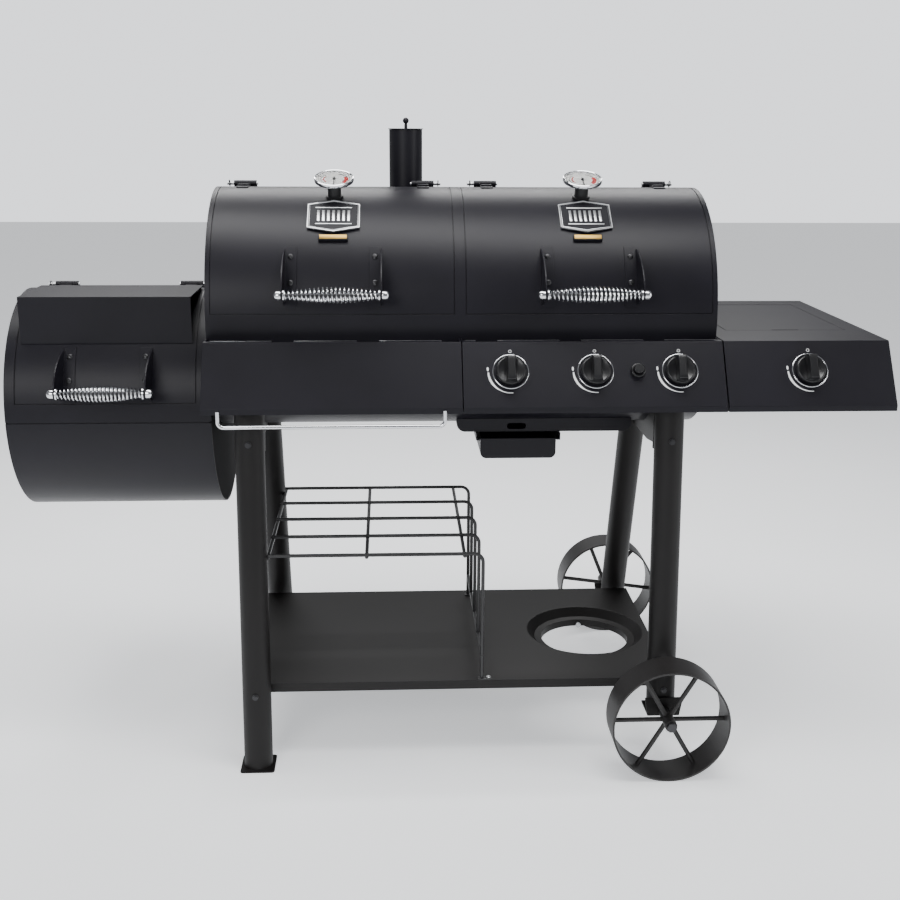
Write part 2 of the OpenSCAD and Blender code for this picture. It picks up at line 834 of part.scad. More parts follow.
// The bent profile of a front panel: top flange, sloping face, upright lip.
module panel_profile() {
    dy = panel_t * cos(panel_a);
    dz = panel_t * sin(panel_a);
    polygon([
        [panel_y + flange_d, panel_z], [panel_y, panel_z], [panel_low_y, panel_low_z],
        [panel_low_y, panel_low_z - panel_lip], [panel_low_y + panel_t, panel_low_z - panel_lip],
        [panel_low_y + panel_t, panel_low_z - dz / 2], [panel_y + dy, panel_z - panel_t],
        [panel_y + flange_d, panel_z - panel_t]]);
}

// Notches in the top flange, either side of the tabs that reach the barrel.
module flange_notches(x0, x1) {
    pitch = knob_pitch;
    for (x = [x0 + 140 : pitch : x1 - 40])
        translate([x, panel_y + 3, panel_z - 10]) cube([46, flange_d, 20]);
}

// Side cheeks close the ends of a panel against the barrel.
module panel_cheek(x) {
    difference() {
        along_x(x, panel_t) polygon([
            [panel_y + 1, panel_z - 1], [panel_low_y + 1, panel_low_z], [panel_low_y + 1, panel_low_z - panel_lip],
            [panel_low_y + 40, panel_low_z - panel_lip], [barrel_y - barrel_r + 20, barrel_z - 60],
            [barrel_y - barrel_r + 20, panel_z - 1]]);
        rod_x([barrel_x0 - 1, barrel_y, barrel_z], barrel_r, barrel_l + 2);
    }
}

knob_x = [divider_x + 100, divider_x + 100 + knob_pitch, divider_x + 100 + 2 * knob_pitch,
    (side_x0 + side_x1) / 2];
igniter_x = divider_x + 100 + 1.5 * knob_pitch;
stem_r = 4;

module storage_panel() {
    color(black) union() {
        difference() {
            along_x(barrel_x0, smoker_l - 1) panel_profile();
            flange_notches(barrel_x0, divider_x);
        }
        panel_cheek(barrel_x0);
        panel_cheek(divider_x - 1 - panel_t);
    }
}

module control_panel() {
    color(black) difference() {
        union() {
            difference() {
                along_x(divider_x + 1, barrel_x1 - divider_x - 1) panel_profile();
                flange_notches(divider_x - 110, barrel_x1);
            }
            panel_cheek(divider_x + 1);
            panel_cheek(barrel_x1 - panel_t);
        }
        for (i = [0 : 2]) on_panel(knob_x[i], knob_drop) translate([0, 0, -20]) cylinder(r = 8, h = 40);
        on_panel(igniter_x, knob_drop) translate([0, 0, -20]) cylinder(r = 8, h = 40);
        rod_x([igniter_x, pipe_y, pipe_z], pipe_r + 5, side_x0 - igniter_x);
    }
}

// A bent bar under the storage panel for cloths and tools.
bar_x0 = barrel_x0 + 35;
bar_x1 = divider_x - 38;
bar_r = 4;
bar_drop = 25;

module towel_bar() {
    y = panel_low_y - bar_r;
    z1 = panel_low_z - 4;
    z0 = panel_low_z - panel_lip - bar_drop;
    bend = 12;
    color(steel) {
        rod_x([bar_x0 + bend, y, z0], bar_r, bar_x1 - bar_x0 - 2 * bend);
        for (s = [0, 1]) translate([s ? bar_x1 - bend : bar_x0 + bend, y, z0 + bend])
            rotate([90, 0, 0]) rotate([0, 0, s ? 270 : 180]) rotate_extrude(angle = 90)
                translate([bend, 0]) circle(bar_r);
        for (x = [bar_x0, bar_x1]) translate([x, y, z0 + bend]) cylinder(r = bar_r, h = z1 - z0 - bend);
    }
}

// ---------- knobs and gas ----------

knob_r = 31;
knob_h = 30;
knob_gap = 3.5;      // travel when a knob is pushed in to light the burner
ring_h = 2.5;

module knob_rings() {
    color(steel) for (x = knob_x) on_panel(x, knob_drop) difference() {
        cylinder(r = ring_d / 2, h = ring_h);
        translate([0, 0, -1]) cylinder(r = knob_r + 3, h = 10);
    }
    color(black) on_panel(igniter_x, knob_drop) difference() {
        cylinder(r = 15.5, h = 9);
        translate([0, 0, -1]) cylinder(r = 10.4, h = 20);
    }
}

module knob(x) {
    on_panel(x, knob_drop) difference() {
        union() {
            translate([0, 0, knob_gap]) cylinder(r1 = knob_r, r2 = knob_r - 2, h = 9);
            translate([0, 0, knob_gap + 9]) intersection() {
                cylinder(r = knob_r - 2, h = knob_h - 9 - knob_gap);
                translate([-10, -knob_r, -1]) cube([20, 2 * knob_r, 40]);
            }
        }
        translate([0, 0, -1]) cylinder(r = stem_r + run_fit, h = 20);
    }
}

module knob_1() {
    color(black) knob(knob_x[0]);
}

module knob_2() {
    color(black) knob(knob_x[1]);
}

module knob_3() {
    color(black) knob(knob_x[2]);
}

module knob_4() {
    color(black) knob(knob_x[3]);
}

module igniter_button() {
    color(black) on_panel(igniter_x, knob_drop) union() {
        translate([0, 0, 3]) cylinder(r = 10, h = 14);
        translate([0, 0, -24]) cylinder(r = 5, h = 28);
    }
}

// The gas pipe behind the panels with a valve for each burner.
valve_in = 34;

pipe_r = 9;
pipe_y = panel_y - knob_drop * sin(panel_a) + valve_in * cos(panel_a) + 14;
pipe_z = panel_z - knob_drop * cos(panel_a) - valve_in * sin(panel_a);

module gas_manifold() {
    color(steel) {
        rod_x([knob_x[0] - 40, pipe_y, pipe_z], pipe_r, knob_x[3] - knob_x[0] + 50);
        for (x = knob_x) on_panel(x, knob_drop) {
            translate([0, 0, -valve_in - 6]) cylinder(r = 11, h = 24);
            translate([0, 0, -20]) cylinder(r = stem_r, h = 34);
        }
        translate([knob_x[0] - 46, pipe_y, pipe_z]) rotate([0, 90, 0]) cylinder(r = 12, h = 12, $fn = 6);
    }
}

burner_z = 800;
burner_y0 = barrel_y - 196;
burner_l = 400;

burner_r = 18;
arm_r = 10;
tamer_w = 110;

// The arm that leads gas from the pipe through the barrel wall to a burner.
module gas_arm(x, r) {
    dy = burner_y0 + 20 - pipe_y;
    dz = pipe_z - burner_z;
    translate([x, pipe_y, pipe_z]) rotate([-90 - atan2(dz, dy), 0, 0])
        cylinder(r = r, h = sqrt(dy * dy + dz * dz));
}

// Each burner stands on two plates, whose tops carry its flame tamer.
module burner_tubes() {
    color(steel) for (i = [0 : 2]) union() {
        rod_y([knob_x[i], burner_y0, burner_z], burner_r, burner_l);
        difference() {
            gas_arm(knob_x[i], arm_r);
            rod_x([knob_x[i] - 20, pipe_y, pipe_z], pipe_r, 40);
        }
        intersection() {
            rod_x([knob_x[i] - tamer_w / 2, barrel_y, barrel_z], barrel_r - sheet_t, tamer_w);
            for (y = [box_open[0] - 22, box_open[1] + 16])
                translate([knob_x[i] - tamer_w / 2, y, barrel_z - barrel_r])
                    cube([tamer_w, 3, burner_z + burner_r - barrel_z + barrel_r]);
        }
    }
}

module flame_tamers() {
    color(black) for (i = [0 : 2]) along_y(burner_y0 + 10, burner_l - 20)
        translate([knob_x[i], burner_z + burner_r]) polygon([
            [-tamer_w / 2, 0], [-tamer_w / 2, 4], [0, 46], [tamer_w / 2, 4], [tamer_w / 2, 0],
            [tamer_w / 2 - 3, 0], [0, 41], [3 - tamer_w / 2, 0]]);
}

// Cast bar grates lie on the ledges in both chambers.
grate_n = 3;
bar_pitch = 18;

module grate(x0, x1) {
    half = ledge_half - 2;
    n = floor((x1 - x0 - 8) / bar_pitch);
    for (i = [0 : n]) translate([x0 + i * (x1 - x0 - 6) / n, barrel_y - half, grate_z - grate_t])
        cube([6, 2 * half, grate_t]);
    for (y = [barrel_y - half + 30, barrel_y - 4, barrel_y + half - 38])
        translate([x0, y, grate_z - grate_t]) cube([x1 - x0, 8, grate_t - 3]);
}

module cooking_grates() {
    gap = 2;
    color(soot) for (c = [[barrel_x0 + plate_t, divider_x - plate_t / 2],
            [divider_x + plate_t / 2, barrel_x1 - plate_t]], i = [0 : grate_n - 1]) {
        w = (c[1] - c[0] - gap) / grate_n;
        grate(c[0] + gap + i * w, c[0] + (i + 1) * w);
    }
}

// ---------- burner box and grease cup ----------

box_y0 = -45;
box_y1 = 190;
box_z = 679;
box_t = 2;
match_x = box_x0 + 138;
cup_x = box_x0 + 141;
cup_w = 174;
cup_y0 = -62;
cup_l = 150;
cup_z0 = 620;
cup_z1 = 667;

module box_outline(inset) {
    r = 20 - inset;
    translate([box_x0 + 20, box_z + 20]) offset(r) square([box_x1 - box_x0 - 40, 100]);
}

module burner_box() {
    color(black) difference() {
        along_y(box_y0, box_y1 - box_y0) box_outline(0);
        along_y(box_y0 + box_t, box_y1 - box_y0 - 2 * box_t) box_outline(box_t);
        rod_x([barrel_x0, barrel_y, barrel_z], barrel_r, barrel_l);
        // hole for lighting the burners with a match
        translate([match_x, box_y0 - 5, box_z + 13]) {
            for (x = [-15, 15]) rod_y([x, 0, 0], 7, 20);
            translate([-15, 0, -7]) cube([30, 20, 14]);
        }
        translate([cup_x, cup_y0 + cup_l / 2, box_z - 5]) cylinder(r = 20, h = 20);
    }
}

// Two angle rails under the burner box carry the cup by its rim.
rim = 9;

module cup_rails() {
    color(black) for (s = [-1, 1]) translate([cup_x + s * (cup_w / 2 + rim + 1), cup_y0, cup_z1 - 4])
        mirror([s > 0 ? 1 : 0, 0, 0]) union() {
            cube([2, cup_l + part_gap + 2, box_z - cup_z1 + 4]);
            cube([rim, cup_l + part_gap + 2, 2]);
            translate([0, cup_l + part_gap, 0]) cube([rim, 2, box_z - cup_z1 + 4]);
        }
}

module cup_outline(inset) {
    translate([cup_x - cup_w / 2 + 14, cup_z0 + 14]) offset(14 - inset)
        square([cup_w - 28, cup_z1 - cup_z0]);
}

module grease_cup() {
    color(black) union() {
        difference() {
            along_y(cup_y0, cup_l) cup_outline(0);
            along_y(cup_y0 + 2, cup_l - 4) cup_outline(2);
            translate([cup_x - cup_w, cup_y0 - 1, cup_z1]) cube([2 * cup_w, cup_l + 2, 40]);
        }
        for (s = [0, 1]) translate([cup_x - (s ? -cup_w / 2 + 1 : cup_w / 2 + rim - 1), cup_y0, cup_z1 - 1.4])
            cube([rim, cup_l, 1.4]);
    }
}

// ---------- firebox ----------

module firebox_shell() {
    x0 = firebox_x0;
    color(black) {
        difference() {
            fire_wall(firebox_r, sheet_t, -1, 179, x0, firebox_l);
            fire_wall(firebox_r + 2, sheet_t + 4, firebox_low_a, hinge_a - 2, x0 + 22, firebox_l - 52);
        }
        fire_wall(firebox_r, sheet_t, 180.3, 358.3, x0, firebox_l);
        // joint strip behind the seam between the two halves
        for (a = [-5, 176]) fire_wall(firebox_r - sheet_t + lip_sink, 3, a, a + 7, x0 + 4, firebox_l - 8);
        lid_lip(firebox_z, firebox_r, firebox_low_a, x0 + 22, x0 + firebox_l - 30);
    }
}

ash_y = barrel_y;
ash_z = firebox_z - 80;

module firebox_ends() {
    r = firebox_r - sheet_t;
    color(black) {
        difference() {
            rod_x([firebox_x0, barrel_y, firebox_z], r, plate_t);
            rod_x([firebox_x0 - 5, ash_y, ash_z], ash_door_d / 2, 20);
        }
        difference() {
            rod_x([barrel_x0 - plate_t, barrel_y, firebox_z], r, plate_t);
            throat(barrel_x0 - 10);
        }
        // pin of the ash door, in two lugs
        translate([door_pin_x, door_pin_y, ash_z - 30]) cylinder(r = 3, h = 60);
        for (z = [ash_z - 30, ash_z + 20.4]) translate([door_pin_x - 6, door_pin_y - 6, z])
            cube([firebox_x0 - door_pin_x + 6, 12, 9.6]);
    }
}

warm_z = firebox_z + firebox_r + 8;

module firebox_lid() {
    color(black) drum_lid(firebox_z, firebox_r, firebox_low_a, firebox_x0 + 22,
        barrel_x0 - 30, fire_hinges);
    // folded warming plate over the front of the lid
    color(black) difference() {
        along_x(firebox_x0 + 32, firebox_l - 72) polygon([
            [barrel_y - 6, warm_z], [barrel_y - 6 - warm_d, warm_z],
            [barrel_y - 6 - warm_d, drum_z(firebox_z, firebox_r, 39)],
            [barrel_y - 4 - warm_d, drum_z(firebox_z, firebox_r, 39)],
            [barrel_y - 4 - warm_d, warm_z - 2], [barrel_y - 6, warm_z - 2]]);
        rod_x([firebox_x0, barrel_y, firebox_z], firebox_r, firebox_l);
    }
    color(black) for (x = [firebox_x0 + 36, barrel_x0 - 48]) difference() {
        along_x(x, 4) polygon([
            [barrel_y - 10, warm_z - 2], [barrel_y - 10, warm_z - 20], [barrel_y - 60, warm_z - 40],
            [barrel_y - 60, warm_z - 2]]);
        rod_x([firebox_x0, barrel_y, firebox_z], firebox_r, firebox_l);
    }
}

// The fire grate rests on two bars across the lower half of the firebox.
module fire_grate() {
    z = firebox_z - 120;
    half = sqrt(pow(firebox_r - sheet_t, 2) - pow(120, 2)) - 8;
    color(soot) union() {
        for (i = [0 : 14]) rod_y([firebox_x0 + 30 + i * (firebox_l - 60) / 14, barrel_y - half, z], 5, 2 * half);
        for (y = [-120, 120]) rod_x([firebox_x0 + 22, barrel_y + y, z - 7], 5, firebox_l - 44);
    }
}

// The ash door hangs on a pin at its back edge and carries the air damper.
door_r = ash_door_d / 2 + 12;
door_pin_y = ash_y + door_r + 8;
door_pin_x = firebox_x0 - 8;
damper_w = 92;
damper_h = 28;
damper_t = 2;
strip_out = damper_t + 2 * part_gap + 1.5;

module ash_door() {
    x0 = firebox_x0 - part_gap - door_t;
    color(black) difference() {
        union() {
            rod_x([x0, ash_y, ash_z], door_r, door_t);
            translate([x0, ash_y + door_r - 14, ash_z - 20]) cube([door_t, 18, 40]);
            translate([door_pin_x, door_pin_y, ash_z - 20]) cylinder(r = 6, h = 40);
            translate([x0, ash_y + door_r, ash_z - 20]) cube([door_t, 8, 40]);
            // latch handle at the front of the door
            translate([x0 - 6, ash_y - door_r + 4, ash_z - 12]) cube([7, 10, 24]);
            translate([x0 - latch_out, ash_y - door_r + 4, ash_z - 12]) cube([latch_out - 5, 4, 24]);
            // strips that hold the damper
            for (s = [-1, 1]) translate([0, 0, ash_z + s * (damper_h / 2 + part_gap + 1.5)]) {
                translate([x0 - strip_out, ash_y - 50, -1.5]) cube([strip_out + 0.5, 100, 3]);
                translate([x0 - strip_out, ash_y - 50, s > 0 ? -4 : -1.5]) cube([1.5, 100, 5.5]);
            }
        }
        translate([door_pin_x, door_pin_y, ash_z - 50]) cylinder(r = 3 + run_fit, h = 100);
        for (y = [-36, -12, 12, 36]) rod_x([x0 - 5, ash_y + y, ash_z], 7.5, 20);
    }
}

// A slotted plate slides behind two strips to let air in.
module air_damper() {
    x0 = firebox_x0 - 2 * part_gap - door_t - damper_t;
    color(soot) difference() {
        union() {
            translate([x0, ash_y - damper_w / 2, ash_z - damper_h / 2]) cube([damper_t, damper_w, damper_h]);
            translate([x0 - 8, ash_y - 4, ash_z - 6]) cube([9, 8, 12]);
        }
        for (y = [-36, -12, 12, 36]) rod_x([x0 - 2, ash_y + y, ash_z], 7.5, 10);
    }
}

// ---------- side shelf ----------

side_low = panel_low_z - panel_lip;
tray_x0 = side_x0 + 40;
tray_x1 = side_x1 - 45;
tray_y0 = -115;
tray_y1 = 265;

module side_shelf() {
    color(black) difference() {
        union() {
            difference() {
                along_x(side_x0, side_w) polygon([
                    [panel_y, panel_z], [panel_low_y, panel_low_z], [panel_low_y, side_low],
                    [side_back_y, side_low], [side_back_y, panel_z]]);
                along_x(side_x0 + panel_t, side_w - 2 * panel_t) polygon([
                    [panel_y + 2, panel_z - panel_t], [panel_low_y + 2, panel_low_z],
                    [panel_low_y + 2, side_low - 1], [side_back_y - 2, side_low - 1],
                    [side_back_y - 2, panel_z - panel_t]]);
                translate([tray_x0, tray_y0, panel_z - 20]) cube([tray_x1 - tray_x0, tray_y1 - tray_y0, 40]);
            }
            // burner tray welded under the opening
            difference() {
                translate([tray_x0 - 2, tray_y0 - 2, panel_z - 82])
                    cube([tray_x1 - tray_x0 + 4, tray_y1 - tray_y0 + 4, 81]);
                translate([tray_x0, tray_y0, panel_z - 80])
                    cube([tray_x1 - tray_x0, tray_y1 - tray_y0, 90]);
            }
            for (x = [tray_x0 - 1, tray_x1 - 13]) rod_x([x, side_pin_y, side_pin_z], 3, 14);
            // cleats that carry the shelf on the barrel end
            for (y = [-60, 180]) translate([barrel_x1, y, panel_z - 90]) cube([panel_gap + 1, 30, 60]);
        }
        on_panel(knob_x[3], knob_drop) translate([0, 0, -20]) cylinder(r = 8, h = 40);
        rod_x([barrel_x1, pipe_y, pipe_z], pipe_r + 5, 30);
        translate([(tray_x0 + tray_x1) / 2, (tray_y0 + tray_y1) / 2, panel_z - 90])
            cylinder(r = 12, h = 20);
    }
}

module side_burner() {
    x = (tray_x0 + tray_x1) / 2;
    y = (tray_y0 + tray_y1) / 2;
    z = panel_z - 80;
    color(soot) {
        translate([x, y, z]) cylinder(r = 45, h = 30);
        translate([x, y, z + 30]) cylinder(r = 36, h = 8);
        // pan support: two bars each way over the burner
        for (s = [-1, 1]) {
            translate([tray_x0 + 4, y + s * 45 - 4, z + 46]) cube([tray_x1 - tray_x0 - 8, 8, 10]);
            translate([x + s * 45 - 4, tray_y0 + 4, z + 46]) cube([8, tray_y1 - tray_y0 - 8, 10]);
            for (t = [-1, 1]) translate([x + s * 100 - 4, y + t * 45 - 4, z]) cube([8, 8, 50]);
        }
    }
}

side_pin_z = panel_z - 7;
side_pin_y = tray_y1 - 14;

module side_burner_lid() {
    g = 1.5;
    d = tray_y1 - tray_y0 - g - 3.5;
    color(black) difference() {
        union() {
            translate([tray_x0 + g, tray_y0 + g, panel_z - 2])
                cube([tray_x1 - tray_x0 - 2 * g, d, 2]);
            for (x = [tray_x0 + g, tray_x1 - g - 2]) translate([x, tray_y0 + g, panel_z - 12])
                cube([2, d, 11]);
            for (x = [tray_x0 + g, tray_x1 - g - 12]) rod_x([x, side_pin_y, side_pin_z], 6, 12);
        }
        translate([(tray_x0 + tray_x1) / 2 - 30, tray_y0, panel_z - 5]) cube([60, 6, 10]);
        rod_x([tray_x0, side_pin_y, side_pin_z], 3 + run_fit, tray_x1 - tray_x0);
    }
}

leg_front_left();
leg_front_right();
leg_back_left();
leg_back_right();
leg_saddles();
fasteners();
axle_brackets();
axle();
wheel_front();
wheel_rear();
lower_shelf();
tank_screw();
wire_rack();
rack_crosses();
barrel_shell();
barrel_plates();
hinge_leaves();
hinge_pins();
smoker_lid();
smoker_lid_brackets();
smoker_grip();
smoker_gauge();
smoker_gauge_needle();
smoker_badge();
grill_lid();
grill_lid_brackets();
grill_grip();
grill_gauge();
grill_gauge_needle();
grill_badge();
chimney_stack();
chimney_cap();
chimney_bolt();
storage_panel();
control_panel();
towel_bar();
knob_1();
knob_2();
knob_3();
knob_4();
knob_rings();
igniter_button();
gas_manifold();
burner_tubes();
flame_tamers();
cooking_grates();
burner_box();
cup_rails();
grease_cup();
firebox_shell();
firebox_ends();
firebox_lid();
firebox_lid_brackets();
firebox_grip();
fire_grate();
ash_door();
air_damper();
side_shelf();
side_burner();
side_burner_lid();
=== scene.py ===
import math
import bmesh
import bpy
from mathutils import Matrix, Vector


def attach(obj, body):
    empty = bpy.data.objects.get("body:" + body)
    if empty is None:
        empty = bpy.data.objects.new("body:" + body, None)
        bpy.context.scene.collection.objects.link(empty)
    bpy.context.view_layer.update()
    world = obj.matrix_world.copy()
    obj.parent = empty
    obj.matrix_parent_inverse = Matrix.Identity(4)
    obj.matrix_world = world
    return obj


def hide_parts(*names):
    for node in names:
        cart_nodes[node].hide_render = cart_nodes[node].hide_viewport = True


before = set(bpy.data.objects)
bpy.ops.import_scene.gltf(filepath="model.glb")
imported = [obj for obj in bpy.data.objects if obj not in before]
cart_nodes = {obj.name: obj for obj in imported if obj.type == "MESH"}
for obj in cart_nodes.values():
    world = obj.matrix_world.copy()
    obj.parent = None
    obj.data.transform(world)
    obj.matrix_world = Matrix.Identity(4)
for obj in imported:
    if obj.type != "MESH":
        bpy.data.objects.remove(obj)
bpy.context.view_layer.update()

# Camera: a long lens at the cook's eye height, a step back from the cart,
# turned a little to the right and looking down on the drums.
look_down = math.radians(15.37)
look_right = math.radians(2.90)
tilt = math.radians(0.31)
ahead = Vector((math.sin(look_right) * math.cos(look_down),
                math.cos(look_right) * math.cos(look_down), -math.sin(look_down)))
side = Vector((math.cos(look_right), -math.sin(look_right), 0))
over = side.cross(ahead)
side_tilted = math.cos(tilt) * side + math.sin(tilt) * over
over_tilted = -math.sin(tilt) * side + math.cos(tilt) * over
eye = (-0.105, -2.7303, 1.3750)
lens = bpy.data.cameras.new("cook_view")
lens.lens = 48.29
lens.sensor_width = 36.0
camera = bpy.data.objects.new("cook_view", lens)
bpy.context.collection.objects.link(camera)
camera.matrix_world = Matrix((
    (side_tilted.x, over_tilted.x, -ahead.x, eye[0]),
    (side_tilted.y, over_tilted.y, -ahead.y, eye[1]),
    (side_tilted.z, over_tilted.z, -ahead.z, eye[2]),
    (0, 0, 0, 1)))
bpy.context.scene.camera = camera

# Studio: a white sky, one wide soft box above the drums, one in front on the
# left, a tall one on the right and a long strip behind for the top edges.
sky = bpy.data.worlds.new("white_studio")
sky.use_nodes = True
backdrop = sky.node_tree.nodes["Background"]
backdrop.inputs["Color"].default_value = (0.94, 0.96, 1.0, 1)
seen = sky.node_tree.nodes.new("ShaderNodeLightPath")
glow = sky.node_tree.nodes.new("ShaderNodeMapRange")
glow.inputs["To Min"].default_value = 0.24
glow.inputs["To Max"].default_value = 1.7
sky.node_tree.links.new(seen.outputs["Is Camera Ray"], glow.inputs["Value"])
sky.node_tree.links.new(glow.outputs["Result"], backdrop.inputs["Strength"])
bpy.context.scene.world = sky
for name, spot, aim, width, height, watts in [
        ("top_box", (-0.2, -0.3, 3.3), (0, 0.1, 0.9), 3.4, 1.0, 105),
        ("front_box", (-1.6, -3.4, 2.3), (0, 0, 0.7), 1.6, 1.2, 52),
        ("right_box", (3.0, -1.6, 1.7), (0.2, 0, 0.6), 0.9, 1.8, 26),
        ("back_strip", (0.0, 2.2, 2.6), (0, 0, 0.9), 3.4, 0.5, 60)]:
    lamp = bpy.data.lights.new(name, "AREA")
    lamp.shape = "RECTANGLE"
    lamp.size = width
    lamp.size_y = height
    lamp.energy = watts
    box = bpy.data.objects.new(name, lamp)
    bpy.context.collection.objects.link(box)
    box.location = spot
    box.rotation_euler = (Vector(aim) - Vector(spot)).to_track_quat("-Z", "Y").to_euler()

# Floor: a plain pale sheet, big enough to run far past the cart. Its finish
# is a flat, slightly mottled white that glows a little, so it stays pale.
floor_bm = bmesh.new()
bmesh.ops.create_grid(floor_bm, x_segments=2, y_segments=2, size=14)
floor_mesh = bpy.data.meshes.new("studio_floor")
floor_bm.to_mesh(floor_mesh)
floor_bm.free()
floor = bpy.data.objects.new("studio_floor", floor_mesh)
bpy.context.collection.objects.link(floor)


def dress(finish, *parts):
    """Give CAD pieces one finish in place of the one they came with."""
    for part in parts:
        cart_nodes[part].data.materials.clear()
        cart_nodes[part].data.materials.append(finish)


def paint(name, colour, rough, fleck=0.0, grain=0.0, grain_size=0.0015, metal=0.0,
          coat=0.0, worn=0.0, edge=0.0, shine=0.5):
    """A painted, plated or moulded finish: patchy colour, uneven gloss, fine grain."""
    finish = bpy.data.materials.new(name)
    finish.use_nodes = True
    tree = finish.node_tree
    shader = tree.nodes["Principled BSDF"]
    shader.inputs["Metallic"].default_value = metal
    shader.inputs["Specular IOR Level"].default_value = shine
    shader.inputs["Coat Weight"].default_value = coat
    shader.inputs["Coat Roughness"].default_value = 0.08
    place = tree.nodes.new("ShaderNodeTexCoord")
    cloud = tree.nodes.new("ShaderNodeTexNoise")
    cloud.inputs["Scale"].default_value = 5.0
    cloud.inputs["Detail"].default_value = 6.0
    tree.links.new(place.outputs["Object"], cloud.inputs["Vector"])
    shade = tree.nodes.new("ShaderNodeValToRGB")
    shade.color_ramp.elements[0].position = 0.3
    shade.color_ramp.elements[1].position = 0.7
    shade.color_ramp.elements[0].color = (*[c * (1 - fleck) for c in colour], 1)
    shade.color_ramp.elements[1].color = (*[c * (1 + fleck) for c in colour], 1)
    tree.links.new(cloud.outputs["Fac"], shade.inputs["Fac"])
    tree.links.new(shade.outputs["Color"], shader.inputs["Base Color"])
    gloss = tree.nodes.new("ShaderNodeMapRange")
    gloss.inputs["To Min"].default_value = rough * (1 - worn)
    gloss.inputs["To Max"].default_value = rough * (1 + worn)
    tree.links.new(cloud.outputs["Fac"], gloss.inputs["Value"])
    tree.links.new(gloss.outputs["Result"], shader.inputs["Roughness"])
    if grain:
        peel = tree.nodes.new("ShaderNodeTexNoise")
        peel.inputs["Scale"].default_value = 1.0 / grain_size
        peel.inputs["Detail"].default_value = 3.0
        tree.links.new(place.outputs["Object"], peel.inputs["Vector"])
        raised = tree.nodes.new("ShaderNodeBump")
        raised.inputs["Strength"].default_value = grain
        raised.inputs["Distance"].default_value = 0.0004
        tree.links.new(peel.outputs["Fac"], raised.inputs["Height"])
        if edge:
            soft = tree.nodes.new("ShaderNodeBevel")
            soft.samples = 4
            soft.inputs["Radius"].default_value = edge
            tree.links.new(soft.outputs["Normal"], raised.inputs["Normal"])
        tree.links.new(raised.outputs["Normal"], shader.inputs["Normal"])
    return finish


floor_white = paint("floor_white", (0.88, 0.89, 0.90), 0.7, 0.01)
floor_shader = floor_white.node_tree.nodes["Principled BSDF"]
floor_shader.inputs["Emission Color"].default_value = (0.95, 0.97, 1.0, 1)
floor_shader.inputs["Emission Strength"].default_value = 0.6
floor.data.materials.append(floor_white)

# Drums, panels and side shelf: pressed and rolled sheet steel, sprayed with a
# satin heat-proof black that has a fine orange-peel grain.
drum_black = paint("drum_black", (0.0066, 0.0060, 0.0098), 0.42, 0.18, 0.22, 0.0011,
                   worn=0.10, edge=0.0012, shine=0.26)
dress(drum_black, "barrel_shell", "smoker_lid", "grill_lid", "firebox_shell", "firebox_lid",
      "storage_panel", "control_panel", "side_shelf", "side_burner_lid", "burner_box",
      "grease_cup", "cup_rails", "hinge_leaves", "ash_door", "air_damper", "chimney_stack",
      "chimney_cap", "chimney_bolt", "smoker_lid_brackets", "grill_lid_brackets",
      "firebox_lid_brackets")

# Legs, lower shelf and brackets: steel tube and sheet in a flatter, browner
# powder coat, with a coarser grain than the drums.
leg_black = paint("leg_black", (0.0072, 0.0064, 0.0064), 0.50, 0.25, 0.35, 0.0016,
                  worn=0.08, edge=0.0012, shine=0.28)
dress(leg_black, "leg_front_left", "leg_front_right", "leg_back_left", "leg_back_right",
      "leg_saddles", "axle_brackets", "lower_shelf")

# Drum ends: flat cut plates, welded in, with a duller and drier coat of the
# same heat-proof black than the rolled drums.
end_black = paint("end_black", (0.0075, 0.0068, 0.0080), 0.85, 0.2, 0.3, 0.0016,
                  worn=0.05, edge=0.0012, shine=0.1)
dress(end_black, "firebox_ends", "barrel_plates")

# Wheels: a rolled steel band with six welded round spokes, in dark grey paint
# with a patchy, scuffed tone all over.
wheel_grey = paint("wheel_grey", (0.017, 0.0155, 0.0155), 0.5, 0.45, 0.5, 0.0022,
                   worn=0.2, edge=0.0015)
dress(wheel_grey, "wheel_front", "wheel_rear")

# Axle, thumb screw, gas pipes and hinge pins: plain zinc-plated steel, dull
# and a little uneven from the plating bath.
zinc = paint("zinc_plate", (0.55, 0.56, 0.57), 0.32, 0.12, 0.1, 0.0008, metal=1.0, worn=0.2)
dress(zinc, "axle", "tank_screw", "gas_manifold", "burner_tubes", "hinge_pins")

# Bolts: blacked steel with a thin oil sheen. The screws of the lid handles
# and the hinge clips share it.
bolt_black = paint("bolt_black", (0.045, 0.045, 0.048), 0.3, 0.2, 0.1, 0.0008, metal=0.6, worn=0.3)
dress(bolt_black, "fasteners")

# Grates and burner irons: sand-cast iron, seasoned black, with a rough skin.
# The flame tamers over the burners share it.
cast_iron = paint("seasoned_iron", (0.016, 0.015, 0.014), 0.62, 0.3, 0.8, 0.0025, worn=0.15)
dress(cast_iron, "cooking_grates", "fire_grate", "side_burner", "flame_tamers")

# Towel bar: a polished, chromed steel rod bent down at both ends.
# The same plating is used on the handles, bezels and knob rings.
chrome = paint("bright_chrome", (0.78, 0.79, 0.81), 0.10, 0.03, metal=1.0, worn=0.2)
dress(chrome, "towel_bar")


